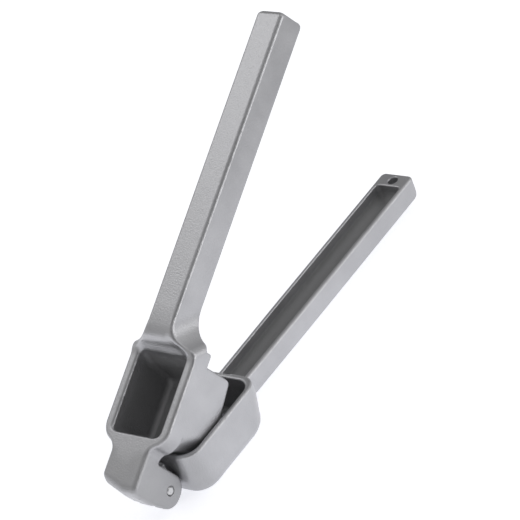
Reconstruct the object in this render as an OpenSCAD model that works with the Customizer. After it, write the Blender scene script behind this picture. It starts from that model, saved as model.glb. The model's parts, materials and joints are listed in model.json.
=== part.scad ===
// Two-arm garlic press, cast in aluminium, with a steel hinge pin.
// The cup arm lies level with its mouth up. The plunger arm is raised on the hinge.
// X runs from the hinge to the handle ends, Z is up, and Y runs along the hinge pin.

/* [Hinge] */
// Diameter of the hinge pin
pin_d = 3; // [2.6:0.1:3.6]
// Radial play of the pin in the tongue
pin_play = 0.05; // [0.03:0.01:0.1]
// Chamfer at each end of the pin
pin_chamfer = 0.3; // [0.1:0.05:0.5]
// Radius of the ears round the pin
ear_r = 6; // [5:0.1:6.4]
// Width over both ears
ears_w = 17.2; // [15:0.1:20]
// Thickness of the tongue between the ears
tongue_t = 6.8; // [5:0.1:9]
// Gap on each side of the tongue
tongue_gap = 0.15; // [0.1:0.01:0.4]
// Radius of the tongue round the pin
tongue_r = 5.7; // [5:0.1:6.2]
// Angle between the arms as the press lies open
rest_angle = 27; // [20:1:40]

/* [Cup] */
// Outside length of the cup
cup_l = 42.2; // [40:0.1:46]
// Outside width of the cup
cup_w = 34.8; // [34:0.1:40]
// Height of the rim over the hinge axis
rim_rise = 9.8; // [9.4:0.1:11]
// Depth of the outside of the base below the hinge axis
base_drop = 8.1; // [7.8:0.1:10]
// Thickness of the side walls
wall = 2.1; // [1.6:0.1:2.3]
// Thickness of the wall next to the handle
end_wall = 2.5; // [2:0.1:2.8]
// Thickness of the perforated base
base_t = 2.2; // [1.8:0.1:2.4]
// Outside corner radius at the handle end
cup_corner = 8.5; // [5:0.1:9]
// Outside corner radius at the hinge end
cup_hinge_corner = 8; // [6:0.1:9]
// Radius under the base edges
base_round = 4; // [2:0.1:4.5]
// Diameter of the holes in the base
hole_d = 2; // [1.6:0.1:2.4]
// Spacing of the holes in the base
hole_pitch = 3.6; // [3.4:0.1:4.5]

/* [Cup arm handle] */
// Distance from the hinge axis to the end of the cup arm
cup_arm_reach = 163.6; // [150:0.1:175]
// Width of the grip
grip_w = 14.4; // [13.4:0.1:16]
// Width of the handle where it leaves the cup
grip_neck_w = 12.8; // [11.4:0.1:13.4]
// Distance from the hinge axis to where the grip reaches its full width
grip_full_x = 88; // [75:1:100]
// Height of the handle's rim over the hinge axis
grip_top = 4.2; // [3.6:0.1:5]
// Depth of the handle's back below the hinge axis
grip_drop = 4; // [3.4:0.1:5]
// Thickness of the channel's walls
grip_wall = 1.9; // [1.6:0.1:2.4]
// Thickness of the channel's floor
grip_floor = 2; // [1.6:0.1:2.6]
// Length of the solid pad at the handle's end
pad_l = 7; // [6.5:0.1:9]
// Diameter of the hanging hole
hang_d = 3.8; // [3:0.1:4.4]
// How far the end face leans back from rim to underside
end_lean = 1.9; // [0:0.1:3]
// Radius in the corner between handle and cup
neck_fillet = 4; // [2:0.1:5]

/* [Plunger arm] */
// Distance from the hinge axis to the end of the plunger arm
arm_reach = 170.2; // [160:0.1:180]
// Width of the plunger arm's handle
arm_w = 11.8; // [11:0.1:13]
// Depth of the plunger arm's handle
arm_t = 12; // [11:0.1:12.4]
// Height of the handle's back over the hinge axis, closed
arm_top = 24.7; // [24.4:0.1:26]
// Radius along the handle's outer edges
arm_round = 1.9; // [1:0.1:2.5]
// Corner radius at the handle's end, on its back and its sides
arm_end_r = 2.4; // [2:0.1:4]
// Corner radius at the handle's end, on the side of the channel
arm_inner_r = 1.5; // [1:0.1:2.5]
// How far the end face leans out towards the side of the channel
arm_lean = 0.7; // [0:0.1:1.5]
// Thickness of the walls of the handle's channel
arm_wall = 2.2; // [1.8:0.1:2.8]
// Length of the solid end of the handle
arm_tip = 9; // [7:0.1:14]

/* [Plunger] */
// Width of the head and its plunger
head_w = 29.6; // [28.6:0.1:29.8]
// Distance from the hinge axis to the hinge side of the head
head_back = 9.4; // [9.2:0.1:9.8]
// Distance from the hinge axis to the handle side of the head
head_front = 47.3; // [46.9:0.1:48.4]
// Height of the head's rim over the hinge axis, closed
head_rim = 17.8; // [17:0.1:19]
// Gap between the head and the cup's rim, closed
head_seat = 0.3; // [0.2:0.05:0.5]
// Corner radius of the head
head_corner = 6; // [3:0.1:6.5]
// Radius under the shoulder of the head
shoulder_r = 3; // [1.5:0.1:3.5]
// Distance from the hinge axis to the plunger's end face
plunger_front = 43.2; // [42:0.1:44]
// Gap between the plunger's face and the cup's base, closed
face_gap = 0.7; // [0.3:0.1:1.2]
// How far the face rises at its handle end
face_rise = 1.6; // [1:0.1:2.5]
// Corner radius of the plunger's nose
nose_r = 2.5; // [1.5:0.1:3]
// Gap between the plunger's hinge side and the cup's rim as it swings
swing_gap = 0.4; // [0.3:0.1:0.6]
// Width of the bevel where the plunger's hinge side meets its flanks
swing_bevel_w = 5; // [3.5:0.1:6]
// Depth of that bevel, away from the hinge axis
swing_bevel_d = 3.4; // [3:0.1:4.5]
// Width of the rim round the hollow
hollow_rim = 3.9; // [3:0.1:4.5]
// Radius of the lip between the hollow and the handle's back
lip_r = 7; // [4:0.1:8]
// Thickness of the plunger's face
face_t = 3; // [2:0.1:4]
// Distance from the hinge axis to the back of the block
block_back = 7.7; // [7:0.1:8]
// Radius along the back of the block
block_round = 4; // [2:0.1:5]
// Corner radius at the back of the block
block_corner = 2; // [1:0.1:4]
// Angle of the face ground on the block's back where the casting's gate was
gate_angle = 18; // [0:1:20]

/* [Neck] */
// Distance from the hinge axis to the foot of the slope up to the handle's back
ramp_x = 41; // [40:0.1:43]
// Radius at the foot of that slope
ramp_foot_r = 4; // [3:0.1:6]
// Radius at the top of that slope
ramp_top_r = 8; // [6:0.1:10]
// Distance from the hinge axis to the middle of the neck
neck_x = 54; // [50:0.5:58]
// Length from the middle of the neck to where it has narrowed to the handle
neck_run = 7; // [5:0.5:10]
// Radius where the neck leaves the head
neck_head_r = 4; // [3:0.1:8]
// Radius where the neck runs into the handle
neck_handle_r = 11; // [8:0.5:16]
// Angle by which the neck's flanks lean
neck_lean = 32; // [10:1:35]

/* [Hidden] */
$fn = 64;
over = 1;
arc_steps = 6;

// Cup, from the hinge axis. Its hinge side clears the ears.
ear_clear = 0.6;
cup_x0 = ear_r + ear_clear;
cup_x1 = cup_x0 + cup_l;
cup_inner_x0 = cup_x0 + wall;
cup_inner_x1 = cup_x1 - end_wall;
cup_inner_w = cup_w - 2 * wall;
floor_z = -base_drop + base_t;
hole_margin = 2.2;

// Cup arm handle
channel_x1 = cup_arm_reach - pad_l;
hang_margin = 3.8;
hang_x = cup_arm_reach - hang_margin;
grip_corner = 2.2;
under_round = 2.2;

// Slot under the block
slot_w = tongue_t + 2 * tongue_gap;
head_under = rim_rise + head_seat;
heel_z = 4.5;

// Plunger. Its hinge side is an arc about the pin that passes the cup's rim.
face_z = floor_z + face_gap;
swing_r = norm([cup_inner_x0, rim_rise]) + swing_gap;
face_x = 30;
face_run = plunger_front - nose_r - face_x;
face_r = (face_run * face_run + face_rise * face_rise) / (2 * face_rise);
face_cz = face_z + face_r;
nose_x = plunger_front - nose_r;
nose_z = face_cz - sqrt(pow(face_r - nose_r, 2) - pow(nose_x - face_x, 2));
nose_dir = [nose_x - face_x, nose_z - face_cz] / (face_r - nose_r);
plunger_corner = 2;
swing_bevel = [swing_bevel_d, swing_bevel_w];

// Hollow in the plunger
hollow_w = head_w - 2 * hollow_rim;
hollow_back_shift = 0.7;
hollow_x0 = head_back + hollow_rim - hollow_back_shift;
hollow_x1 = plunger_front - hollow_rim;
hollow_z = face_z + face_t;
hollow_corner = 3.2;
hollow_far_corner = 6;
hollow_lean = 4.2;
hollow_flare = 1.2;
hollow_end = ramp_x + 5;
lip_w = 9;

// Handle and neck
arm_under = arm_top - arm_t;
under_edge = 0.6;
ramp_crest = ramp_x + s_length(ramp_foot_r, ramp_top_r, arm_top - head_rim);
neck_x0 = 38;
neck_margin = 0.5;
neck_end = neck_x + neck_run / cos(neck_lean) + neck_margin;
lip_x = ramp_crest;
channel_x0 = 54;
channel_end_r = 2;
channel_back = 2.6;

// Where the hinge axis is, so that the bounding box is centred and stands on z = 0
back_x = block_back - block_round;
back_z = head_rim - block_round;
reach_back = block_round + back_x * cos(rest_angle) + back_z * sin(rest_angle);
pin_x = (reach_back - cup_arm_reach) / 2;
pin_z = base_drop;

// Point where a line through p, beyond a circle of radius r about [0, 0], touches the circle
function tangent(p, r) = let (d = norm(p), a = atan2(p.y, p.x) + acos(r / d)) r * [cos(a), sin(a)];

// Length of an S-curve of two arcs, with radii r0 and r1, that climbs by h
function s_length(r0, r1, h) = sqrt(pow(r0 + r1, 2) - pow(r0 + r1 - h, 2));

// Points along an arc about c from angle a0 to angle a1
function arc(c, r, a0, a1) =
    [for (i = [0:arc_steps]) let (a = a0 + (a1 - a0) * i / arc_steps) c + r * [cos(a), sin(a)]];

// Points along an S-curve that starts level at x0, z0, climbs by h and ends level
function s_curve(x0, z0, h, r0, r1) =
    let (c0 = [x0, z0 + r0], c1 = [x0 + s_length(r0, r1, h), z0 + h - r1], a = atan2(c1.y - c0.y, c1.x - c0.x))
    concat(arc(c0, r0, -90, a), arc(c1, r1, a + 180, 90));

// An outline in the X-Z plane, drawn as x and z, made w wide across Y
module across(w) {
    translate([0, w / 2, 0]) rotate([90, 0, 0]) linear_extrude(w) children();
}

// An outline in the Y-Z plane, drawn as y and z, run along X from a to b
module along(a, b) {
    translate([a, 0, 0]) rotate([90, 0, 90]) linear_extrude(b - a) children();
}

// An outline in the X-Y plane between two heights
module between(z0, z1) {
    translate([0, 0, z0]) linear_extrude(z1 - z0) children();
}

// A box outline from x0 to x1 and from y0 to y1
module patch(x0, x1, y0, y1) {
    translate([x0, y0]) square([x1 - x0, y1 - y0]);
}

// A plan outline, centred on Y, with one corner radius at x0 and another at x1
module rounded_plan(x0, x1, w, r0, r1) {
    patch(x0 + r0, x1 - r1, -w / 2, w / 2);
    for (side = [-1, 1]) {
        translate([x0 + r0, side * (w / 2 - r0)]) circle(r0);
        translate([x1 - r1, side * (w / 2 - r1)]) circle(r1);
    }
    patch(x0, x1 - over, -w / 2 + r0, w / 2 - r0);
    patch(x0 + over, x1, -w / 2 + r1, w / 2 - r1);
}

// A box outline from z0 to z1 with its corners at z0 and z1 rounded
module rounded_section(w, z0, z1, r0, r1) {
    patch(-w / 2, w / 2, z0 + r0, z1 - r1);
    for (side = [-1, 1]) {
        translate([side * (w / 2 - r0), z0 + r0]) circle(r0);
        translate([side * (w / 2 - r1), z1 - r1]) circle(r1);
    }
    patch(-w / 2 + r0, w / 2 - r0, z0, z1 - over);
    patch(-w / 2 + r1, w / 2 - r1, z0 + over, z1);
}

// Places a piece that is drawn about the hinge axis
module at_hinge() {
    translate([pin_x, 0, pin_z]) children();
}

// Places a piece that turns with the plunger arm and is drawn closed
module raised() {
    at_hinge() rotate([0, -rest_angle, 0]) children();
}

// ---- cup arm ----

// Section of a wall's outside with its foot rounded, drawn from x = 0 to the outer face at x = r
module wall_foot(r) {
    patch(0, r - base_round, -base_drop, rim_rise);
    patch(0, r, -base_drop + base_round, rim_rise);
    intersection() {
        translate([r - base_round, -base_drop + base_round]) circle(base_round);
        patch(0, r, -base_drop, rim_rise);
    }
}

module cup_section() {
    patch(-cup_w / 2, cup_w / 2, -base_drop + base_round, rim_rise);
    patch(-cup_w / 2 + base_round, cup_w / 2 - base_round, -base_drop, rim_rise);
    for (side = [-1, 1]) translate([side * (cup_w / 2 - base_round), -base_drop + base_round]) circle(base_round);
}

module cup_corner_post(x, r) {
    for (side = [-1, 1]) translate([x, side * (cup_w / 2 - r), 0]) rotate_extrude() wall_foot(r);
}

module cup_outside() {
    x0 = cup_x0 + cup_hinge_corner;
    x1 = cup_x1 - cup_corner;
    cup_corner_post(x0, cup_hinge_corner);
    cup_corner_post(x1, cup_corner);
    along(x0, x1) cup_section();
    across(cup_w - 2 * cup_hinge_corner) translate([x0, 0]) mirror([1, 0]) wall_foot(cup_hinge_corner);
    across(cup_w - 2 * cup_corner) translate([x1, 0]) wall_foot(cup_corner);
}

module cup_inside() {
    between(floor_z, rim_rise + over)
        rounded_plan(cup_inner_x0, cup_inner_x1, cup_inner_w, cup_hinge_corner - wall, cup_corner - wall);
}

// Staggered rows of holes that keep clear of the walls
module base_holes() {
    row_step = hole_pitch * sin(60);
    x_mid = (cup_inner_x0 + cup_inner_x1) / 2;
    x_room = (cup_inner_x1 - cup_inner_x0) / 2 - hole_margin - hole_d / 2;
    y_room = cup_inner_w / 2 - hole_margin - hole_d / 2;
    columns = floor(x_room / row_step);
    for (i = [-columns:columns]) {
        shift = (i % 2 == 0) ? 0 : hole_pitch / 2;
        corner = (abs(i) == columns) ? hole_pitch : 0;
        rows = floor((y_room - shift - corner) / hole_pitch);
        for (j = [-rows - (shift > 0 ? 1 : 0):rows])
            translate([x_mid + i * row_step, j * hole_pitch + shift, -base_drop - over])
                cylinder(h = base_t + 2 * over, d = hole_d, $fn = 24);
    }
}

module grip_plan() {
    polygon([
        [cup_x1 - over, -grip_neck_w / 2], [cup_x1 + neck_fillet, -grip_neck_w / 2],
        [grip_full_x, -grip_w / 2], [cup_arm_reach - grip_corner, -grip_w / 2],
        [cup_arm_reach - grip_corner, grip_w / 2], [grip_full_x, grip_w / 2],
        [cup_x1 + neck_fillet, grip_neck_w / 2], [cup_x1 - over, grip_neck_w / 2]
    ]);
    rounded_plan(cup_arm_reach - grip_w, cup_arm_reach, grip_w, over, grip_corner);
    for (side = [-1, 1]) scale([1, side]) difference() {
        patch(cup_x1 - over, cup_x1 + neck_fillet, 0, grip_neck_w / 2 + neck_fillet);
        translate([cup_x1 + neck_fillet, grip_neck_w / 2 + neck_fillet]) circle(neck_fillet);
    }
}

module grip_profile() {
    x_under = cup_arm_reach - end_lean;
    polygon([
        [cup_x1 - over, -grip_drop], [x_under - under_round, -grip_drop],
        [x_under, -grip_drop + under_round], [cup_arm_reach, grip_top], [cup_x1 - over, grip_top]
    ]);
    translate([x_under - under_round, -grip_drop + under_round]) circle(under_round);
}

module grip_channel() {
    neck = grip_neck_w / 2 - grip_wall;
    full = grip_w / 2 - grip_wall;
    between(-grip_drop + grip_floor, grip_top + over)
        polygon([
            [cup_x1, -neck], [cup_x1 + neck_fillet, -neck], [grip_full_x, -full], [channel_x1, -full],
            [channel_x1, full], [grip_full_x, full], [cup_x1 + neck_fillet, neck], [cup_x1, neck]
        ]);
}

module tongue() {
    across(tongue_t) {
        circle(tongue_r);
        patch(0, cup_x0 + wall / 2, -tongue_r, tongue_r);
    }
}

module cup_arm() {
    color([0.68, 0.68, 0.7]) at_hinge() difference() {
        union() {
            difference() {
                cup_outside();
                cup_inside();
                base_holes();
            }
            intersection() {
                between(-grip_drop, grip_top) grip_plan();
                across(cup_w) grip_profile();
            }
            tongue();
        }
        grip_channel();
        translate([hang_x, 0, -grip_drop - over]) cylinder(h = grip_top + grip_drop + 2 * over, d = hang_d);
        across(tongue_t + 2 * over) circle(d = pin_d + 2 * pin_play);
    }
}

// ---- plunger arm, drawn closed ----

// The end of the handle seen from the side: two rounded corners and a leaning end face
module arm_tip_profile() {
    c0 = [arm_reach - arm_lean - arm_end_r, arm_top - arm_end_r];
    c1 = [arm_reach - arm_inner_r, arm_under + arm_inner_r];
    way = c1 - c0;
    turn = atan2(way.y, way.x) + acos((arm_end_r - arm_inner_r) / norm(way));
    out = [cos(turn), sin(turn)];
    polygon([
        [neck_x, arm_top], [c0.x, arm_top], c0 + arm_end_r * out, c1 + arm_inner_r * out,
        [c1.x, arm_under], [neck_x, arm_under]
    ]);
    translate(c0) circle(arm_end_r);
    translate(c1) circle(arm_inner_r);
}

// The handle beyond the neck
module arm_bar() {
    intersection() {
        across(arm_w) arm_tip_profile();
        along(neck_end - over, arm_reach + over) rounded_section(arm_w, arm_under, arm_top, under_edge, arm_round);
        between(0, arm_top + over) rounded_plan(0, arm_reach, arm_w, over, arm_end_r);
    }
}

// The neck in plan, from its middle: a little wider than the head, then narrowing to the handle
module neck_plan() {
    wide = head_w / 2 + neck_margin;
    curve = s_curve(-neck_run, arm_w / 2, wide - arm_w / 2, neck_handle_r, neck_head_r);
    for (side = [-1, 1]) polygon(concat(
        [[2 * neck_run, -side * over], [2 * neck_run, side * arm_w / 2]],
        [for (p = curve) [-p.x, side * p.y]],
        [[-neck_x / 2, side * wide], [-neck_x / 2, -side * over]]
    ));
}

// The neck climbs from the head's rim to the handle's back, and its flanks lean
module neck() {
    intersection() {
        across(head_w) polygon(concat(
            [[neck_x0, arm_under], [neck_x0, head_rim]],
            s_curve(ramp_x, head_rim, arm_top - head_rim, ramp_foot_r, ramp_top_r),
            [[neck_end, arm_top], [neck_end, arm_under]]
        ));
        translate([neck_x, 0, arm_under]) rotate([0, -neck_lean, 0]) between(-neck_x, neck_x) neck_plan();
    }
}

module head() {
    between(head_under, head_rim) rounded_plan(head_back, neck_x0 + over, head_w, head_corner, over);
    across(head_w) {
        patch(neck_x0, head_front - shoulder_r, head_under, arm_under + over);
        patch(neck_x0, head_front, head_under + shoulder_r, arm_under + over);
        translate([head_front - shoulder_r, head_under + shoulder_r]) circle(shoulder_r);
    }
}

module plunger_profile() {
    difference() {
        patch(0, plunger_front, face_z, head_under + over);
        circle(swing_r);
        difference() {
            patch(face_x, plunger_front + over, face_z - over, nose_z);
            intersection() {
                translate([face_x, face_cz]) circle(face_r);
                patch(face_x, nose_x + nose_r, face_z - over, nose_z);
            }
        }
        difference() {
            translate([nose_x, nose_z])
                polygon([[0, 0], [2 * nose_r, 0], [2 * nose_r, -3 * nose_r], 3 * nose_r * nose_dir]);
            translate([nose_x, nose_z]) circle(nose_r);
        }
    }
}

// The space that the cup's hinge side needs, turned about the hinge axis
module swing_drum() {
    edge = [swing_r, head_w / 2 - swing_bevel.y];
    rim = edge + 2 * swing_bevel;
    rotate([90, 0, 0]) rotate_extrude()
        polygon([
            [0, -rim.y], [rim.x, -rim.y], [edge.x, -edge.y],
            [edge.x, edge.y], [rim.x, rim.y], [0, rim.y]
        ]);
}

module plunger() {
    difference() {
        intersection() {
            across(head_w) plunger_profile();
            between(face_z, head_under + over) rounded_plan(0, plunger_front, head_w, over, plunger_corner);
        }
        swing_drum();
    }
}

// The hollow ends at its handle side in a rounded lip that runs out into the handle's back
module hollow() {
    difference() {
        intersection() {
            across(hollow_w) polygon([
                [hollow_x0, arm_top + over], [hollow_x0, rim_rise],
                [hollow_x0 + hollow_lean, floor_z + wall], [hollow_x0 + hollow_lean, hollow_z],
                [hollow_x1, hollow_z], [hollow_x1 + hollow_flare, rim_rise],
                [lip_x - lip_r, arm_top - lip_r], [lip_x, arm_top - lip_r], [lip_x, arm_top + over]
            ]);
            union() {
                between(hollow_z, arm_top + over)
                    rounded_plan(hollow_x0, hollow_end, hollow_w, hollow_corner, hollow_far_corner);
                between(head_rim - over, arm_top + over)
                    rounded_plan(hollow_x0 + hollow_far_corner, lip_x + over, lip_w, over, over);
            }
        }
        across(head_w) translate([lip_x, arm_top - lip_r]) circle(lip_r);
    }
}

module arm_channel() {
    width = arm_w - 2 * arm_wall;
    between(arm_under - over, arm_top - channel_back)
        rounded_plan(channel_x0, arm_reach - arm_tip, width, channel_end_r, channel_end_r);
}

module block() {
    across(ears_w) difference() {
        patch(-block_back, head_back + head_corner, head_under, head_rim);
        difference() {
            patch(-block_back - over, -back_x, back_z, head_rim + over);
            translate([-back_x, back_z]) circle(block_round);
        }
    }
}

module ears() {
    heel = [-block_back, heel_z];
    across(ears_w) {
        circle(ear_r);
        patch(-block_back, ear_r, heel_z, head_under + over);
        polygon([[0, 0], [ear_r, 0], [ear_r, heel_z], heel, tangent(heel, ear_r)]);
    }
}

module slot() {
    between(-ear_r - over, head_under)
        patch(-block_back - over, head_back + head_corner, -slot_w / 2, slot_w / 2);
}

module knuckle() {
    intersection() {
        union() {
            block();
            difference() {
                ears();
                slot();
            }
        }
        between(-ear_r, head_rim) difference() {
            rounded_plan(-block_back, head_back + head_corner + over, ears_w, block_corner, over);
            translate([-block_back, 0]) rotate(-gate_angle) patch(-ears_w, 0, 0, ears_w);
        }
    }
}

module plunger_arm() {
    color([0.62, 0.62, 0.64]) raised() difference() {
        union() {
            difference() {
                union() {
                    arm_bar();
                    neck();
                    head();
                    plunger();
                }
                hollow();
                arm_channel();
            }
            difference() {
                knuckle();
                hollow();
            }
        }
        across(ears_w + 2 * over) circle(d = pin_d);
    }
}

// ---- hinge pin, pressed into the ears ----

module hinge_pin() {
    color([0.8, 0.8, 0.8]) raised() rotate([90, 0, 0]) rotate_extrude()
        polygon([
            [0, -ears_w / 2], [pin_d / 2 - pin_chamfer, -ears_w / 2], [pin_d / 2, -ears_w / 2 + pin_chamfer],
            [pin_d / 2, ears_w / 2 - pin_chamfer], [pin_d / 2 - pin_chamfer, ears_w / 2], [0, ears_w / 2]
        ]);
}

cup_arm();
plunger_arm();
hinge_pin();
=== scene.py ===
# %% [markdown]
# # A cast-aluminium garlic press
#
# Two long castings turn on one steel pin. The lower one carries a cup with holes in its base, the
# upper one carries a hollow plunger. We dress a measured model of the press: its sizes and its hinge
# are already fixed, so every place below is worked out from that model and nothing is moved.

# %% Load the measured model
import json
import math
import bpy
import numpy as np
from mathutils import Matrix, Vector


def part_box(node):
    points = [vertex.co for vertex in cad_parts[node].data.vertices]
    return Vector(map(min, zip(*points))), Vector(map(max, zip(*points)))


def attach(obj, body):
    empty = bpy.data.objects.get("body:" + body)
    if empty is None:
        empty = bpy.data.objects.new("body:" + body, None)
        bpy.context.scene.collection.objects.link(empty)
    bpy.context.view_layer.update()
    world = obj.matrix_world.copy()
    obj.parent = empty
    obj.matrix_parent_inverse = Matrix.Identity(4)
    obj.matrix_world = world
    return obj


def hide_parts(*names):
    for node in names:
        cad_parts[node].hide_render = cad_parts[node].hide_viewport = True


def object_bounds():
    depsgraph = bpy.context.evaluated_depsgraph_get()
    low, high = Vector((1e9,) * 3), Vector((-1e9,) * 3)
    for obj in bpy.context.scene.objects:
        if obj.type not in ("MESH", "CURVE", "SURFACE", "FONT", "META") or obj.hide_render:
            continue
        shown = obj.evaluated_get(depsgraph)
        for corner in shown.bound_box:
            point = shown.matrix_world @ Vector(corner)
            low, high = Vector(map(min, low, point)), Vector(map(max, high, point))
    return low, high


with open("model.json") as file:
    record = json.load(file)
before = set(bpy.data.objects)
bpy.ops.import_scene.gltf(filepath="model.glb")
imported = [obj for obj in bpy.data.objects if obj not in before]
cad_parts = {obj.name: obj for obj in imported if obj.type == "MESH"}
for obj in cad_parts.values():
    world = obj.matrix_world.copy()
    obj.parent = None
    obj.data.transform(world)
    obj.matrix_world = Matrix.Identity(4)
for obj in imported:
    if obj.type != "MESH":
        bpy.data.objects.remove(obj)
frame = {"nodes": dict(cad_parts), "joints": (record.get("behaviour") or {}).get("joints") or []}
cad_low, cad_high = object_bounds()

import openvdb
from mathutils import Euler, Matrix, Vector

print("measured box, mm:", [round(1000 * side, 1) for side in cad_high - cad_low])

# %% [markdown]
# ## Where the hinge is
#
# All sizes of the castings are easiest to give from the hinge axis, in millimetres: x runs towards
# the handle ends, y along the pin, z up. The cup arm lies level. The plunger arm is described as if
# the press were closed, and then turned about the pin by the angle at which the press rests, which is
# how far its joint can still close.

# %% The hinge axis and the resting angle
MM = 0.001
hinge = frame["joints"][0]
pin_low, pin_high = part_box("hinge_pin")
pin_centre = (pin_low + pin_high) / 2
pin_length = (pin_high.y - pin_low.y) / MM
rest_angle = math.radians(-hinge["range_deg"][0])
print("pin at", [round(c / MM, 2) for c in pin_centre], "length", round(pin_length, 1),
      "open by", round(math.degrees(rest_angle), 1))

# %% [markdown]
# ## How to model a casting
#
# A die casting has no sharp edges: every outer edge and every inside corner is rounded, each with its
# own radius, and the walls lean a little so that the part leaves the die. Bevel modifiers struggle
# where three such roundings meet. So we describe the metal with a distance field instead: a function
# that gives, for any point, how far it is from the surface, negative inside the metal. Two fields are
# blended with a round edge or a round corner by a short formula, whatever their shapes.

# %% Round edges and corners between two distance fields
def common(a, b, edge):
    """The metal that a and b share, with a round outer edge."""
    over_a = np.maximum(a + edge, 0)
    over_b = np.maximum(b + edge, 0)
    return np.minimum(np.maximum(a, b), -edge) + np.sqrt(over_a * over_a + over_b * over_b)


def joined(a, b, corner):
    """The metal of a and b together, with a round inside corner."""
    return -common(-a, -b, corner)


def without(a, b, edge):
    """The metal of a with b cut away, with a round edge along the cut."""
    return common(a, -b, edge)


def fade(value, start, end):
    """Goes smoothly from 0 at start to 1 at end."""
    t = np.clip((value - start) / (end - start), 0, 1)
    return t * t * (3 - 2 * t)


rounded_corner = float(common(np.float32(0), np.float32(0), 1))
print("a square edge rounded by 1 mm lies", round(rounded_corner, 2), "mm inside it")

# %% [markdown]
# ## Outlines
#
# Two kinds of flat shape are enough. One is a box with its own corner radius at each end, seen from
# above. The other is an outline given by its corners, each with a radius, as a pattern maker would
# dimension it. The distance to it is worked out edge by edge.

# %% Flat shapes as distance fields
def plan_box(x, y, x0, x1, half_width, r0, r1):
    """Distance to a box seen from above, from x0 to x1, with corner radius r0 at x0 and r1 at x1."""
    middle = (x0 + x1) / 2
    r = np.where(x < middle, r0, r1)
    across_x = np.abs(x - middle) - (x1 - x0) / 2 + r
    across_y = np.abs(y) - half_width + r
    outside = np.hypot(np.maximum(across_x, 0), np.maximum(across_y, 0))
    return outside + np.minimum(np.maximum(across_x, across_y), 0) - r


def rounded(corners, steps=8):
    """The points of a closed outline whose corners are given as (x, z, radius)."""
    points = []
    for before, (x, z, radius), after in zip(corners[-1:] + corners, corners, corners[1:] + corners[:1]):
        here = np.array((x, z))
        if radius == 0:
            points.append(here)
            continue
        back = (np.array(before[:2]) - here) / math.dist(before[:2], here)
        ahead = (np.array(after[:2]) - here) / math.dist(after[:2], here)
        half = math.acos(np.clip(back @ ahead, -1, 1)) / 2
        centre = here + (back + ahead) / np.linalg.norm(back + ahead) * radius / math.sin(half)
        first = here + back * radius / math.tan(half) - centre
        last = here + ahead * radius / math.tan(half) - centre
        start = math.atan2(first[1], first[0])
        turn = (math.atan2(last[1], last[0]) - start + math.pi) % (2 * math.pi) - math.pi
        for angle in np.linspace(start, start + turn, steps + 1):
            points.append(centre + radius * np.array((math.cos(angle), math.sin(angle))))
    return np.array(points)


def outline(points, x, z):
    """Distance from (x, z) to a closed outline, negative inside it."""
    nearest = np.full(np.broadcast(x, z).shape, np.inf, np.float32)
    inside = np.zeros(nearest.shape, bool)
    for (ax, az), (bx, bz) in zip(points, np.roll(points, -1, axis=0)):
        ex, ez = bx - ax, bz - az
        px, pz = x - ax, z - az
        t = np.clip((px * ex + pz * ez) / (ex * ex + ez * ez), 0, 1)
        nearest = np.minimum(nearest, (px - t * ex) ** 2 + (pz - t * ez) ** 2)
        if az != bz:
            inside ^= ((az > z) != (bz > z)) & (px < ex * pz / ez)
    return np.where(inside, -1, 1) * np.sqrt(nearest)


square = rounded([(0, 0, 1), (10, 0, 1), (10, 10, 1), (0, 10, 1)])
square_middle = float(outline(square, np.float32(5), np.float32(5)))
print("outline test:", len(square), "points, middle at", square_middle)

# %% [markdown]
# ## From field to mesh
#
# Blender ships with OpenVDB, which walks through a grid of distances and lays a skin of faces where
# the distance is zero. A fine grid gives many faces, so the Decimate modifier then thins out the flat
# parts. Last, each point is slid along the slope of the field until it lies exactly on the surface,
# and the same slope gives its normal, so that reflections run smoothly over edges and flats alike.

# %% Slide points onto the surface
longest_slide = 0.3


def slope(field, points, step=0.02):
    """The direction in which the field grows fastest, with its steepness, at each point."""
    x, y, z = points.T
    ahead = np.stack([field(x + step, y, z), field(x, y + step, z), field(x, y, z + step)], axis=1)
    behind = np.stack([field(x - step, y, z), field(x, y - step, z), field(x, y, z - step)], axis=1)
    return (ahead - behind) / (2 * step)


def settle(field, points, rounds):
    """Slides the points onto the surface."""
    for _ in range(rounds):
        steep = slope(field, points)
        squared = np.maximum((steep * steep).sum(axis=1), 0.05)
        move = (field(*points.T) / squared)[:, None] * steep
        points = points - np.clip(move, -longest_slide, longest_slide)
    return points


print("a point slides by", longest_slide, "mm at most in one round")

# %% Skin a distance field
skin_spacing = 0.36
face_budget = 150000
field_reach = 5.0


def skin(name, field, room):
    """A mesh object, in millimetres from the hinge axis, of the surface of a field inside a room."""
    low, high = room
    x, y, z = [np.arange(a, b, skin_spacing, dtype=np.float32) for a, b in zip(low, high)]
    block = field(x[:, None, None], y[None, :, None], z[None, None, :])
    block = np.clip(block, -field_reach, field_reach)
    grid = openvdb.FloatGrid(field_reach)
    grid.copyFromArray(np.ascontiguousarray(block, dtype=np.float32))
    points, quads = grid.convertToQuads(0.0)
    points = points * skin_spacing + np.array(low)
    mesh = bpy.data.meshes.new(name)
    mesh.from_pydata(points.tolist(), [], quads.tolist())
    piece = bpy.data.objects.new(name, mesh)
    bpy.context.scene.collection.objects.link(piece)
    thin = piece.modifiers.new("thin out", "DECIMATE")
    thin.ratio = min(1.0, face_budget / (2 * len(quads)))
    bpy.context.view_layer.update()
    thinned_piece = piece.evaluated_get(bpy.context.evaluated_depsgraph_get())
    thinned = bpy.data.meshes.new_from_object(thinned_piece)
    piece.modifiers.clear()
    piece.data = thinned
    bpy.data.meshes.remove(mesh)
    thinned.name = name
    return piece


print("skin spacing, mm:", skin_spacing)
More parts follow.
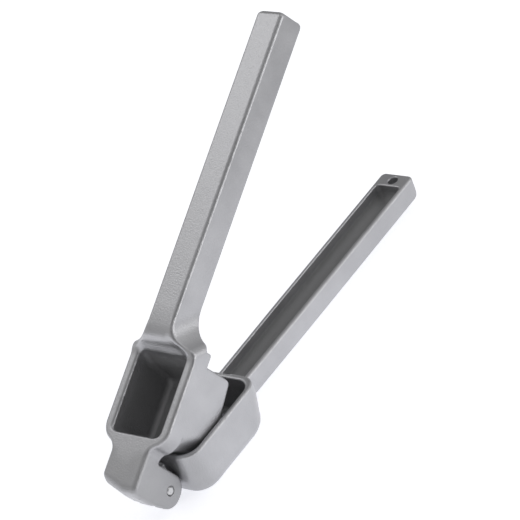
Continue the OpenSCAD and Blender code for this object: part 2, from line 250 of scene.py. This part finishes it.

# %% [markdown]
# ## Putting a casting in its place
#
# The mesh is still in millimetres from the hinge axis. One turn about the pin and one shift put it
# where the model has it. Each point also keeps a number for its darker cast skin and painted shade:
# it grows with depth inside a recess, and the block and ears at the hinge end get some of it too.

# %% Place a casting on the pin
def place(piece, field, skin_and_shade, turned):
    """Settles a skinned piece, notes each point's cast skin and painted shade, turns it about the pin,
    smooths it.
    """
    mesh = piece.data
    points = np.empty(3 * len(mesh.vertices), np.float32)
    mesh.vertices.foreach_get("co", points)
    points = settle(field, points.reshape(-1, 3).astype(np.float64), 3)
    normals = slope(field, points)
    normals /= np.linalg.norm(normals, axis=1)[:, None]
    # How much darker cast skin and painted shade each point gets, kept as a point attribute.
    skin_and_shade_layer = mesh.attributes.new("skin_and_shade", "FLOAT", "POINT")
    skin_and_shade_layer.data.foreach_set("value", skin_and_shade(*points.T))
    c, s = math.cos(turned), math.sin(turned)
    turn = np.array(((c, 0, -s), (0, 1, 0), (s, 0, c)))
    world = points @ turn.T * MM + np.array(pin_centre)
    mesh.vertices.foreach_set("co", world.astype(np.float32).ravel())
    mesh.update()
    mesh.normals_split_custom_set_from_vertices((normals @ turn.T).tolist())
    print(piece.name, "has", len(mesh.polygons), "faces and", len(mesh.vertices), "points")


print("the raised arm climbs", round(math.sin(rest_angle), 2), "mm for each mm along it")

# %% [markdown]
# ## The cup arm
#
# This casting is a deep cup with a perforated base, a channel-shaped handle and, on the hinge side, a
# tongue for the pin. The cup's corners at the handle side get rounder towards the base, inside and
# out, and the handle flows into the cup with a large soft corner. A cup like this could be a box with
# bevels and a boolean cut, but the changing corner radius is easier to write into a field.

# %% Sizes of the cup arm
cup_x0, cup_x1 = 6.6, 48.8
cup_half = 17.4
cup_rim, cup_base = 9.8, -8.1
cup_floor = cup_base + 2.2
hinge_corner = 8.0
rim_corner, base_corner = 6.5, 12.5
base_round, floor_round = 3.8, 1.6
rim_outer_edge, rim_inner_edge = 0.95, 0.9
inner_x0, inner_x1, inner_half = 8.7, 46.3, 15.3
inner_hinge_corner = 5.9
inner_rim_corner, inner_base_corner = 5.0, 7.5
wall_draft = 0.03
print("cup, mm:", round(cup_x1 - cup_x0, 1), "x", 2 * cup_half, "x", round(cup_rim - cup_base, 1))

# %% The cup
nicks = [(28.2, 0.75), (30.6, 0.6)]
nick_out, nick_up, nick_edge = 0.25, 0.2, 0.25


def front_corner(z, at_rim, at_base):
    """The radius of a corner at the handle side, which grows towards the base."""
    return at_rim + fade(z, cup_rim - 2, cup_base) * (at_base - at_rim)


def cup_plan(x, y, z):
    corner = front_corner(z, rim_corner, base_corner)
    return plan_box(x, y, cup_x0, cup_x1, cup_half, hinge_corner, corner)


def cup_shell(x, y, z):
    """The cup, with the two small nicks that handling left in its rim."""
    outside = common(cup_plan(x, y, z), cup_base - z, base_round)
    radius = front_corner(z, inner_rim_corner, inner_base_corner)
    inside = plan_box(x, y, inner_x0, inner_x1, inner_half, inner_hinge_corner, radius)
    inside = common(inside, cup_floor - z, floor_round)
    shell = without(common(outside, z - cup_rim, rim_outer_edge), inside, rim_inner_edge)
    for nick_x, size in nicks:
        across, above = y + cup_half + nick_out, z - cup_rim - nick_up
        dent = np.sqrt((x - nick_x) ** 2 + across ** 2 + above ** 2) - size
        shell = without(shell, dent, nick_edge)
    return shell


print("wall at the side:", round(cup_half - inner_half, 1), "mm")

# %% [markdown]
# ## The sieve
#
# The garlic leaves through round holes in the cup's cast base. Staggered rows pack them closest. They
# could be one cylinder copied many times and cut out, but in a field they are two rectangular grids,
# the second one shifted by half a step both ways. A remainder folds all of space into one cell of a
# grid, so that one circle stands for every hole in it. A hole too near the wall is left out.

# %% The holes in the base
hole_radius, hole_pitch = 1.0, 3.6
hole_row = hole_pitch * math.sin(math.radians(60))
hole_margin, hole_room_corner = 3.15, 6
hole_edge, hole_reach = 0.15, 4
no_hole = 9


def base_holes(x, y):
    """Distance to the nearest hole of either grid; a hole whose centre has no room is pushed away."""
    middle = (inner_x0 + inner_x1) / 2
    grids = []
    for shift in (0, 1):
        away_x = (x - middle + shift * hole_row + hole_row) % (2 * hole_row) - hole_row
        away_y = (y + shift * hole_pitch / 2 + hole_pitch / 2) % hole_pitch - hole_pitch / 2
        room = plan_box(x - away_x, y - away_y, inner_x0 + hole_margin, inner_x1 - hole_margin,
                        inner_half - hole_margin, hole_room_corner, hole_room_corner)
        grids.append(np.hypot(away_x, away_y) - hole_radius + np.where(room > 0, no_hole, 0))
    return np.minimum(*grids)


print("rows of holes every", round(hole_row, 2), "mm")

# %% [markdown]
# ## The handle of the cup arm
#
# A solid handle would cool slowly and waste metal, so it is cast as a channel, open at the top, with
# a solid pad at the end for the hanging hole. Its side view and its plan share one rounded edge, and
# a second, smaller shape of the same kind is cut away from it.

# %% The outside of the handle
grip_end, grip_end_lean = 163.6, 1.9
grip_top, grip_under = 4.2, -4.0
grip_half, grip_neck_half = 7.2, 6.9
grip_full_x = 88.0
grip_root, grip_side_start = 30, 40
grip_into_cup, grip_blend = 1.6, 3.6
grip_corner, grip_edge, grip_top_extra = 2.2, 0.7, 0.3
grip_side = rounded([
    (grip_side_start, grip_under, 0), (grip_end - grip_end_lean, grip_under, 2.4),
    (grip_end, grip_top, 0.5), (grip_side_start, grip_top, 0),
])


def grip_width(x):
    """Half the handle's width, which grows a little from the cup to the hand."""
    along = np.clip((x - cup_x1) / (grip_full_x - cup_x1), 0, 1)
    return grip_neck_half + along * (grip_half - grip_neck_half)


def grip(x, y, z):
    plan = common(np.abs(y) - grip_width(x), x - grip_end, grip_corner)
    plan = joined(common(plan, grip_root - x, 1), cup_plan(x, y, z) + grip_into_cup, grip_blend)
    return common(plan, outline(grip_side, x, z), grip_edge + grip_top_extra * fade(z, 0, 2))


print("handle width, mm:", 2 * grip_neck_half, "to", 2 * grip_half)

# %% The channel in the handle
grip_wall, grip_floor = 1.9, -2.0
channel_start, channel_end = cup_x1 - 0.2, 156.6
channel_corner, channel_round, channel_edge = 1.6, 3.6, 0.45
hang_x, hang_radius, hang_edge = 159.8, 1.9, 0.4


def grip_channel(x, y, z):
    draft = (z - grip_floor) * wall_draft
    walls = np.abs(y) - grip_width(x) + grip_wall - draft
    ends = np.maximum(channel_start - x - draft, x - channel_end - draft)
    return common(common(walls, ends, channel_corner), grip_floor - z, channel_round)


print("channel depth:", round(grip_top - grip_floor, 1), "mm,",
      "pad length:", round(grip_end - channel_end, 1), "mm")

# %% The tongue on the pin
pin_radius, pin_play = 1.5, 0.05
tongue_half, tongue_radius = 3.4, 5.7
tongue_edge, tongue_fillet, bore_edge = 0.5, 0.8, 0.2


def tongue(x, y, z):
    """A round eye about the pin, with a bridge that reaches 1 mm into the cup's wall."""
    eye = np.hypot(x, z) - tongue_radius
    bridge = np.maximum(np.abs(z) - tongue_radius, np.maximum(-x, x - cup_x0 - 1))
    return common(np.minimum(eye, bridge), np.abs(y) - tongue_half, tongue_edge)


print("tongue", 2 * tongue_half, "mm wide on a pin of", 2 * pin_radius, "mm")

# %% The whole cup arm
grip_trim, grip_fillet = 1.0, 1.4
sharp = 0.05


def cup_arm_metal(x, y, z):
    outside_cup = without(grip(x, y, z), cup_plan(x, y, z) + grip_trim, sharp)
    metal = joined(cup_shell(x, y, z), outside_cup, grip_fillet)
    metal = joined(metal, tongue(x, y, z), tongue_fillet)
    metal = without(metal, grip_channel(x, y, z), channel_edge)
    metal = without(metal, np.hypot(x - hang_x, y) - hang_radius, hang_edge)
    holes = common(base_holes(x, y), np.abs(z - cup_base) - hole_reach, 0.02)
    metal = without(metal, holes, hole_edge)
    return without(metal, np.hypot(x, z) - pin_radius - pin_play, bore_edge)


def cup_arm_skin_and_shade(x, y, z):
    """Cast skin and painted shade: 1 deep in the cup, in the channel or in the hanging hole, 0 on the
    outside.
    """
    in_cup = -plan_box(x, y, inner_x0, inner_x1, inner_half, inner_hinge_corner, inner_rim_corner)
    # Darker with depth below the rim: cast skin and painted shade.
    cup = fade(in_cup, -0.5, 0.3) * fade(cup_rim - z, 0.5, 5)
    channel = fade(grip_width(x) - grip_wall + 0.4 - np.abs(y), 0, 0.6) * fade(grip_top - z, 0.5, 4)
    channel = channel * fade(x, cup_x1 - 0.4, cup_x1) * fade(channel_end + 0.4 - x, 0, 0.6)
    hole = fade(hang_radius + 0.4 - np.hypot(x - hang_x, y), 0, 0.4) * fade(grip_top - z, 0.3, 1.5)
    inside = np.maximum(cup * fade(z - cup_base, 0.4, 1.2), channel)
    return np.maximum(inside, hole) * np.where(x > cup_x1, fade(z - grip_under, 0.6, 1.2), 1)


cup_arm_room = (-6.8, -18.4, -9.1), (164.8, 18.6, 10.9)
cup_arm = skin("cup_arm_casting", cup_arm_metal, cup_arm_room)
place(cup_arm, cup_arm_metal, cup_arm_skin_and_shade, 0)
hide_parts("cup_arm")
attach(cup_arm, "cup_arm")

# %% [markdown]
# ## The plunger arm
#
# The upper casting is a hollow plunger under a rectangular opening, a neck that climbs and narrows to
# a square handle, and behind the opening a block with two ears that hold the pin. The neck's flanks
# lean, so they are drawn in a leaning frame. The field of the whole outside is a side view and a plan
# that share one rounded edge.

# %% Sizes of the plunger arm
head_half, block_half = 14.8, 8.6
head_x0, head_rim, head_under = 9.4, 17.8, 10.1
block_x0 = -7.7
head_front = 47.3
arm_end, arm_end_lean = 170.2, 0.9
arm_half, arm_top, arm_under = 5.9, 24.7, 12.7
ramp_foot, ramp_top = 43.5, 46.8
plunger_end, plunger_face = 43.2, -5.2
print("head", 2 * head_half, "mm wide, handle", 2 * arm_half, "mm wide")

# %% The side view of the arm
arm_side = rounded([
    (block_x0, head_rim, 3.6), (ramp_foot, head_rim, 5), (ramp_top, arm_top, 7),
    (arm_end - arm_end_lean, arm_top, 2.2), (arm_end, arm_under, 1.5), (head_front, arm_under, 0.4),
    (head_front, head_under, 0.8), (block_x0, head_under, 0),
])
print("points in the arm's side view:", len(arm_side))

# %% The flanks of the neck
neck_x, neck_run, neck_squeeze, neck_lean = 54.0, 7.0, 0.85, 0.68
neck_handle_r, neck_head_r = 11.0, 4.0


def neck_flank(x, y, z):
    """Distance to the flank that runs from the head's width through two arcs to the handle's width."""
    u = (x - neck_x) * neck_squeeze + (z - arm_under) * neck_lean
    side = np.abs(y)
    radii = neck_handle_r + neck_head_r
    length = math.sqrt(radii ** 2 - (radii - head_half + arm_half) ** 2)
    handle_arc = (neck_run, arm_half + neck_handle_r)
    head_arc = (neck_run - length, head_half - neck_head_r)
    near_handle = neck_handle_r - np.hypot(u - handle_arc[0], side - handle_arc[1])
    near_head = np.hypot(u - head_arc[0], side - head_arc[1]) - neck_head_r
    rise = handle_arc[1] - head_arc[1]
    above = (side - head_arc[1]) * length - (u - head_arc[0]) * rise
    curve = np.where(above < 0, near_handle, near_head)
    curve = np.where(u > handle_arc[0], side - arm_half, curve)
    return np.where(u < head_arc[0], side - head_half, curve)


print("neck flank leans by", neck_lean, "mm for each mm of height")

# %% The plan of the arm
gate_angle, gate_start, gate_x0, gate_x1 = math.radians(18), -2.5, -4, 4
swing_corner, handle_corner = 7, 3
head_front_edge = 1.3
block_reach, block_fillet = 24, 2.2


def from_back(x, y):
    """x, drawn in on the far side of the block, where the casting's gate was ground off."""
    ground = np.maximum(y - gate_start, 0) * math.tan(gate_angle)
    return x - ground * fade(-x, -gate_x1, -gate_x0)


def arm_plan(x, y, z):
    plan = common(neck_flank(x, y, z), head_x0 - x, swing_corner)
    plan = common(plan, x - arm_end, handle_corner)
    head_face = common(np.abs(y) - head_half, x - head_front, head_front_edge)
    plan = np.where(z < arm_under, np.maximum(plan, head_face), plan)
    block = np.maximum(np.abs(y) - block_half, np.abs(x) - block_reach)
    return joined(plan, block, block_fillet)


print("gate ground off at", round(math.degrees(gate_angle)), "degrees")

# %% [markdown]
# ## Plunger and ears
#
# The plunger swings into the cup on an arc, so its hinge side is a part of a cylinder about the pin.
# The ears are one solid side view with a slot cut through it for the tongue, because that is how the
# die forms them.

# %% Plunger
swing_radius = 13.5
plunger_corner, plunger_edge = 2.5, 1.4
under_rim = 14
plunger_side = rounded([
    (0, under_rim, 0), (plunger_end, under_rim, 0), (plunger_end, -3.6, 2.5), (34, -4.95, 12),
    (30, plunger_face, 6), (0, plunger_face, 0),
])


def plunger(x, y, z):
    sides = common(np.abs(y) - head_half, x - plunger_end, plunger_corner)
    hinge_side = np.maximum(swing_radius - np.hypot(x, z), head_x0 - x)
    plan = common(sides, hinge_side, swing_corner)
    return common(plan, outline(plunger_side, x, z), plunger_edge)


print("plunger length:", round(plunger_end - head_x0, 1), "mm")

# %% Ears
ear_radius, ear_back, ear_bottom, ear_round = 6.0, -6.4, 6.1, 5.8
ear_top, ear_edge = 13, 1.0
slot_half, slot_top, slot_round, slot_edge = 3.55, 8.6, 0.8, 0.4
ear_side = rounded([
    (block_x0, ear_top, 0), (block_x0, 6.5, 3), (ear_back, 1.5, 3), (ear_back, -ear_bottom, ear_round),
    (ear_radius, -ear_bottom, ear_round), (ear_radius + 0.2, head_under - 0.3, 1.2),
    (head_x0 + 0.4, ear_top - 0.4, 0), (head_x0 + 0.4, ear_top, 0),
])


def ears(x, y, z):
    side_view = outline(ear_side, from_back(x, y), z)
    metal = common(side_view, np.abs(y) - block_half, ear_edge)
    slot = common(np.abs(y) - slot_half, z - slot_top, slot_round)
    return without(metal, slot, slot_edge)


print("gap between tongue and ear:", round(slot_half - tongue_half, 2), "mm")

# %% [markdown]
# ## Hollow and channel
#
# The plunger is hollow to save metal, and its opening runs up the ramp of the neck. The handle is a
# channel too, open towards the cup arm, where the hand doesn't feel its edges.

# %% Hollow
hollow_x0, hollow_x1, hollow_half = 12.6, 46, 10.9
hollow_hinge_corner, hollow_corner, hollow_round = 3.2, 4.5, 2.0
lip_half, lip_x, lip_reach, lip_fillet = 4.6, 50, 12, 3
above_arm = 30
hollow_side = rounded([
    (hollow_x0, above_arm, 0), (hollow_x0, 9.8, 5), (16.4, -2.2, 3), (39.3, -2.2, 3), (40.8, 9.8, 10),
    (45.6, 24.3, 7), (60, 27.5, 0), (60, above_arm, 0),
])


def hollow(x, y, z):
    """The hollow and, on the ramp, the narrower lip at which it runs out."""
    half = hollow_half + (z - head_rim) * wall_draft
    opening = plan_box(x, y, hollow_x0, hollow_x1, half, hollow_hinge_corner, hollow_corner)
    lip = common(np.abs(y) - lip_half, np.abs(x - lip_x) - lip_reach, 1)
    return common(joined(opening, lip, lip_fillet), outline(hollow_side, x, z), hollow_round)


print("hollow goes down to", hollow_side[:, 1].min(), "mm")

# %% Channel under the handle
under_x0, under_x1, under_half, under_roof = 54, 160, 3.7, 22.1
under_corner, under_round, under_edge = 2, 1.4, 0.5


def arm_channel(x, y, z):
    draft = (z - arm_under) * wall_draft
    half = under_half - draft
    plan = plan_box(x, y, under_x0 + draft, under_x1 - draft, half, under_corner, under_corner)
    return common(plan, z - under_roof, under_round)


print("channel walls", round(arm_half - under_half, 1), "mm thick at the mouth")

# %% The whole plunger arm
hollow_edge, hollow_ramp_extra = 1.2, 1.2
press_play, press_edge, pin_ring = 0.02, 0.12, 0.3


def arm_edge(x, y, z):
    """The radius of the outer edges: small below, larger above, and larger round the block."""
    at_block = fade(9 - x, 0, 3)
    low_edge = 0.4 + 0.6 * at_block
    top_edge = 1.5 + np.where(y > 0, 1.1, 0.5) * at_block
    return low_edge + (top_edge - low_edge) * fade(z, head_under + 1, head_rim - 2)


def plunger_arm_metal(x, y, z):
    metal = common(arm_plan(x, y, z), outline(arm_side, from_back(x, y), z), arm_edge(x, y, z))
    metal = np.minimum(metal, np.minimum(plunger(x, y, z), ears(x, y, z)))
    metal = without(metal, hollow(x, y, z), hollow_edge + hollow_ramp_extra * fade(x, 40, hollow_x1))
    metal = without(metal, arm_channel(x, y, z), under_edge)
    ring = pin_ring * fade(np.abs(y), block_half - 0.6, block_half - 0.3)
    return without(metal, np.hypot(x, z) - pin_radius - press_play - ring, press_edge)


def plunger_arm_skin_and_shade(x, y, z):
    """Cast skin and painted shade: 1 in the channel or the slot, a little less deep in the hollow, some
    painted shade at the hinge end, 0 outside.
    """
    in_hollow = -plan_box(x, y, hollow_x0, hollow_x1, hollow_half, hollow_hinge_corner, hollow_corner)
    # Darker with depth in the hollow: cast skin and painted shade.
    deep = fade(in_hollow, -0.5, 0.3) * fade(head_rim - z, 0.5, 5.5) * fade(z - plunger_face, 0.6, 1.2)
    channel = fade(under_half + 0.2 - np.abs(y), 0, 0.4) * fade(z - arm_under, 0.5, 4)
    channel = channel * fade(under_roof + 0.3 - z, 0, 0.4)
    channel = channel * fade(x, under_x0 - 1, under_x0) * fade(under_x1 + 0.4 - x, 0, 0.6)
    slot = fade(slot_half + 0.2 - np.abs(y), 0, 0.3) * fade(6 - x, 0, 1) * fade(slot_top + 1 - z, 0, 0.6)
    # Painted shade: the block and ears at the hinge end are darkened with some of the cast skin colour.
    painted_hinge_shade = 0.4 * fade(9 - x, 0, 3) * fade(x - block_x0, 0.4, 1.2)
    return np.maximum(np.maximum(0.7 * deep, channel), np.maximum(slot, painted_hinge_shade))


plunger_arm_room = (-8.7, -15.8, -7), (171.4, 16.0, 25.8)
plunger_arm = skin("plunger_arm_casting", plunger_arm_metal, plunger_arm_room)
place(plunger_arm, plunger_arm_metal, plunger_arm_skin_and_shade, rest_angle)
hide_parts("plunger_arm")
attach(plunger_arm, "plunger_arm")

# %% [markdown]
# ## Finishes
#
# The castings were tumbled after they left the die, which gives a satin grey with a fine grain. We
# build the grey from noise at two scales: soft clouds where the melt cooled unevenly, and a fine
# grain that makes a very small bump. The tumbling stones don't reach into the cup, the hollow and the
# channels, so there the metal keeps its rougher cast skin. That skin is also darker, and the darkness
# is partly painted shade: the number that each point was given when it was placed, 0 outside and 1
# deep inside, grows with depth and mixes the two, and it paints some shade on the hinge end too.

# %% Helpers for materials
def fresh_material(name):
    material = bpy.data.materials.new(name)
    material.use_nodes = True
    material.node_tree.nodes.clear()
    return material, material.node_tree


def finish_with(tree, shader, output="ShaderNodeOutputMaterial"):
    """Ends a node tree with its output node."""
    tree.links.new(shader, tree.nodes.new(output).inputs["Surface"])


def noise(tree, scale, detail, coordinates):
    node = tree.nodes.new("ShaderNodeTexNoise")
    node.inputs["Scale"].default_value = scale
    node.inputs["Detail"].default_value = detail
    tree.links.new(coordinates, node.inputs["Vector"])
    return node.outputs["Fac"]


print("materials so far:", len(bpy.data.materials))

# %% Helpers that turn one number into another
noise_range = 0.3, 0.7


def map_range(tree, value, source, target, smooth=False):
    """Takes a value from its source range to a target range, at an even or a smooth pace."""
    node = tree.nodes.new("ShaderNodeMapRange")
    node.interpolation_type = "SMOOTHSTEP" if smooth else "LINEAR"
    node.inputs["From Min"].default_value, node.inputs["From Max"].default_value = source
    node.inputs["To Min"].default_value, node.inputs["To Max"].default_value = target
    tree.links.new(value, node.inputs["Value"])
    return node.outputs["Result"]


def noise_colour(tree, value, dark, light):
    """Turns noise into a colour between a dark and a light one."""
    node = tree.nodes.new("ShaderNodeValToRGB")
    for stop, position, colour in zip(node.color_ramp.elements, noise_range, (dark, light)):
        stop.position = position
        stop.color = (*colour, 1)
    tree.links.new(value, node.inputs["Fac"])
    return node.outputs["Color"]


def mix(tree, factor, first, second):
    """Goes from a first value to a second number as the factor goes from 0 to 1."""
    node = tree.nodes.new("ShaderNodeMix")
    tree.links.new(factor, node.inputs["Factor"])
    tree.links.new(first, node.inputs["A"])
    node.inputs["B"].default_value = second
    return node.outputs["Result"]


print("noise mostly stays between", noise_range[0], "and", noise_range[1])

# %% Cast aluminium
# The darker colour of the cast skin in recesses, partly painted shade that grows with depth.
shaded_cast_skin, cast_skin_roughness = (0.36, 0.36, 0.365), 0.7
tumbled_dark, tumbled_light = (0.46, 0.46, 0.475), (0.52, 0.52, 0.535)
tumbled_roughness = 0.30, 0.37
cloud_scale, grain_scale = 90, 1700


def cast_aluminium():
    material, tree = fresh_material("tumbled_cast_aluminium")
    where = tree.nodes.new("ShaderNodeTexCoord").outputs["Object"]
    clouds = noise(tree, cloud_scale, 3, where)
    grain = noise(tree, grain_scale, 3, where)
    shader = tree.nodes.new("ShaderNodeBsdfPrincipled")
    shader.inputs["Metallic"].default_value = 0.85
    # The point attribute mixes in the darker cast skin, which is partly painted shade.
    skin_and_shade = tree.nodes.new("ShaderNodeAttribute")
    skin_and_shade.attribute_name = "skin_and_shade"
    colour = tree.nodes.new("ShaderNodeMix")
    colour.data_type = "RGBA"
    tree.links.new(skin_and_shade.outputs["Fac"], colour.inputs["Factor"])
    tree.links.new(noise_colour(tree, clouds, tumbled_dark, tumbled_light), colour.inputs[6])
    colour.inputs[7].default_value = (*shaded_cast_skin, 1)
    tree.links.new(colour.outputs[2], shader.inputs["Base Color"])
    tumbled = map_range(tree, clouds, noise_range, tumbled_roughness)
    roughness = mix(tree, skin_and_shade.outputs["Fac"], tumbled, cast_skin_roughness)
    tree.links.new(roughness, shader.inputs["Roughness"])
    bump = tree.nodes.new("ShaderNodeBump")
    bump.inputs["Strength"].default_value = 0.4
    bump.inputs["Distance"].default_value = 0.0003
    tree.links.new(grain, bump.inputs["Height"])
    tree.links.new(bump.outputs["Normal"], shader.inputs["Normal"])
    finish_with(tree, shader.outputs["BSDF"])
    return material


casting = cast_aluminium()
for piece in (cup_arm, plunger_arm):
    piece.data.materials.clear()
    piece.data.materials.append(casting)
print("castings finished with", casting.name)

# %% [markdown]
# ## The pin
#
# The pin is the one piece of steel, and turned, so it is brighter than the castings. Fine noise gives
# its grey and its roughness the slight changes of a turned surface. A new mesh isn't needed, because
# the measured pin is already right, and only its finish is new.

# %% Pin steel
steel_dark, steel_light = (0.62, 0.62, 0.62), (0.74, 0.74, 0.75)
steel_roughness = 0.28, 0.4


def pin_steel():
    material, tree = fresh_material("turned_pin_steel")
    where = tree.nodes.new("ShaderNodeTexCoord").outputs["Object"]
    turning = noise(tree, 1500, 2, where)
    shader = tree.nodes.new("ShaderNodeBsdfPrincipled")
    shader.inputs["Metallic"].default_value = 1.0
    tree.links.new(noise_colour(tree, turning, steel_dark, steel_light), shader.inputs["Base Color"])
    tree.links.new(map_range(tree, turning, noise_range, steel_roughness), shader.inputs["Roughness"])
    finish_with(tree, shader.outputs["BSDF"])
    return material


pin_finish = pin_steel()
pin = frame["nodes"]["hinge_pin"]
for pin_slot in pin.material_slots:
    pin_slot.material = pin_finish
print("pin finished with", pin_finish.name)

# %% [markdown]
# ## The floor
#
# A pale floor under the press. It glows, a painted light that lights the castings from below and
# shows in their reflections. The glow is painted weaker towards one side, a painted shade, and weaker
# beside the hinge, a painted shadow of the press. The camera sees one even grey instead.

# %% Helpers for lengths and sums
def vector_math(tree, operation, vector, constant):
    """A number from a vector and a constant one, such as their distance or their dot product."""
    node = tree.nodes.new("ShaderNodeVectorMath")
    node.operation = operation
    tree.links.new(vector, node.inputs[0])
    node.inputs[1].default_value = constant
    return node.outputs["Value"]


def number_math(tree, operation, first, second):
    node = tree.nodes.new("ShaderNodeMath")
    node.operation = operation
    tree.links.new(first, node.inputs[0])
    tree.links.new(second, node.inputs[1])
    return node.outputs["Value"]


print("finishes for the press are ready, materials so far:", len(bpy.data.materials))

# %% The floor
floor_size = 3.0
floor_light, floor_shade, floor_seen = 0.66, 0.12, 0.65
shade_direction, shade_length = Vector((1, -1, 0)).normalized(), 0.22
hinge_shadow, shadow_radius, shadow_light = Vector((-0.085, -0.025, 0)), 0.04, 0.6


def pale_floor_finish():
    material, tree = fresh_material("pale_floor")
    where = tree.nodes.new("ShaderNodeTexCoord").outputs["Object"]
    shader = tree.nodes.new("ShaderNodeBsdfDiffuse")
    shader.inputs["Color"].default_value = (0.9, 0.9, 0.9, 1)
    # Painted shade and painted shadow in the glow: weaker towards one side and beside the hinge.
    away = vector_math(tree, "DOT_PRODUCT", where, shade_direction)
    shade = map_range(tree, away, (0, shade_length), (floor_light, floor_shade), smooth=True)
    beside = vector_math(tree, "DISTANCE", where, hinge_shadow)
    contact = map_range(tree, beside, (0, shadow_radius), (shadow_light, 1), smooth=True)
    lit = number_math(tree, "MULTIPLY", shade, contact)
    light_path = tree.nodes.new("ShaderNodeLightPath")
    glow = tree.nodes.new("ShaderNodeEmission")
    glow.inputs["Color"].default_value = (0.94, 0.95, 1.0, 1)
    strength = mix(tree, light_path.outputs["Is Camera Ray"], lit, floor_seen)
    tree.links.new(strength, glow.inputs["Strength"])
    total = tree.nodes.new("ShaderNodeAddShader")
    tree.links.new(shader.outputs["BSDF"], total.inputs[0])
    tree.links.new(glow.outputs["Emission"], total.inputs[1])
    finish_with(tree, total.outputs["Shader"])
    return material


def pale_floor():
    mesh = bpy.data.meshes.new("floor")
    corners = [(-1, -1, 0), (1, -1, 0), (1, 1, 0), (-1, 1, 0)]
    mesh.from_pydata([floor_size * Vector(corner) for corner in corners], [], [(0, 1, 2, 3)])
    mesh.materials.append(pale_floor_finish())
    floor = bpy.data.objects.new("floor", mesh)
    bpy.context.scene.collection.objects.link(floor)
    floor.location.z = cad_low.z
    return floor


floor = pale_floor()
print("floor at", round(floor.location.z, 4))

# %% [markdown]
# ## The surround and the lamps
#
# A soft white surround, as in a light tent. The camera sees the world as plain white, and a
# reflection sees the tent's walls, which are greyer and have two brighter and two darker patches. A
# patch is a direction, the angles from it at which the patch starts and is full, and what it adds to
# the wall. A lamp above and a long low lamp give the castings their form.

# %% The surround
tent_wall = 0.6
tent_patches = [
    ((-0.14, 0.64, 0.75), 45, 12, 0.1),
    ((-0.35, -0.72, 0.62), 42, 12, -0.4),
    ((0.53, -0.55, 0.64), 40, 15, 0.4),
    ((0.6, 0.62, 0.45), 40, 10, -0.25),
]


def white_surround():
    world = bpy.data.worlds.new("surround")
    bpy.context.scene.world = world
    world.use_nodes = True
    tree = world.node_tree
    tree.nodes.clear()
    light_path = tree.nodes.new("ShaderNodeLightPath").outputs
    seen = number_math(tree, "MAXIMUM", light_path["Is Camera Ray"], light_path["Is Transmission Ray"])
    direction = tree.nodes.new("ShaderNodeTexCoord").outputs["Generated"]
    wall = tree.nodes.new("ShaderNodeValue")
    wall.outputs["Value"].default_value = tent_wall
    level = wall.outputs["Value"]
    for toward, wide, narrow, change in tent_patches:
        facing = vector_math(tree, "DOT_PRODUCT", direction, Vector(toward).normalized())
        angles = math.cos(math.radians(wide)), math.cos(math.radians(narrow))
        patch = map_range(tree, facing, angles, (0, change), smooth=True)
        level = number_math(tree, "ADD", patch, level)
    background = tree.nodes.new("ShaderNodeBackground")
    tree.links.new(mix(tree, seen, level, 1.0), background.inputs["Strength"])
    finish_with(tree, background.outputs["Background"], "ShaderNodeOutputWorld")


white_surround()
print("tent wall at", tent_wall, "with", len(tent_patches), "patches")

# %% The lamps
def soft_lamp(name, place_at, aim, wide, high, glow):
    lamp = bpy.data.lights.new(name, "AREA")
    lamp.shape = "RECTANGLE"
    lamp.size = wide
    lamp.size_y = high
    lamp.energy = glow * math.pi * wide * high
    lamp_object = bpy.data.objects.new(name, lamp)
    bpy.context.scene.collection.objects.link(lamp_object)
    lamp_object.location = place_at
    lamp_object.rotation_euler = (Vector(aim) - Vector(place_at)).to_track_quat("-Z", "Y").to_euler()


middle = (cad_low + cad_high) / 2
soft_lamp("top_lamp", (0.04, 0.46, 0.62), middle, 0.36, 0.36, 1.0)
soft_lamp("edge_lamp", (0.25, -0.8, 0.14), middle, 1.0, 0.28, 1.75)

# %% [markdown]
# ## The camera
#
# The camera looks down from the hinge end. It stands far away behind a long lens, because a small
# thing seen from close by would seem too large in front. It is rolled, so that both handles fit into
# a square view.

# %% The camera
camera_place = Vector((-0.6072, -0.7536, 0.6841))
camera_azimuth, camera_elevation, camera_roll = [math.radians(a) for a in (230.61, 33.58, -25.6)]
camera_lens, camera_sensor = 230.4, 36


def view_camera():
    data = bpy.data.cameras.new("view")
    data.lens = camera_lens
    data.sensor_width = camera_sensor
    camera = bpy.data.objects.new("view", data)
    bpy.context.scene.collection.objects.link(camera)
    camera.location = camera_place
    upright = Euler((math.pi / 2 - camera_elevation, 0, camera_azimuth + math.pi / 2)).to_matrix()
    camera.rotation_euler = (upright @ Matrix.Rotation(camera_roll, 3, "Z")).to_euler()
    bpy.context.scene.camera = camera
    return camera


camera = view_camera()
print("camera at", [round(c, 3) for c in camera.location])

# %% [markdown]
# ## Colours
#
# The colours go out without a film look.

# %% Colours
bpy.context.scene.view_settings.view_transform = "Standard"
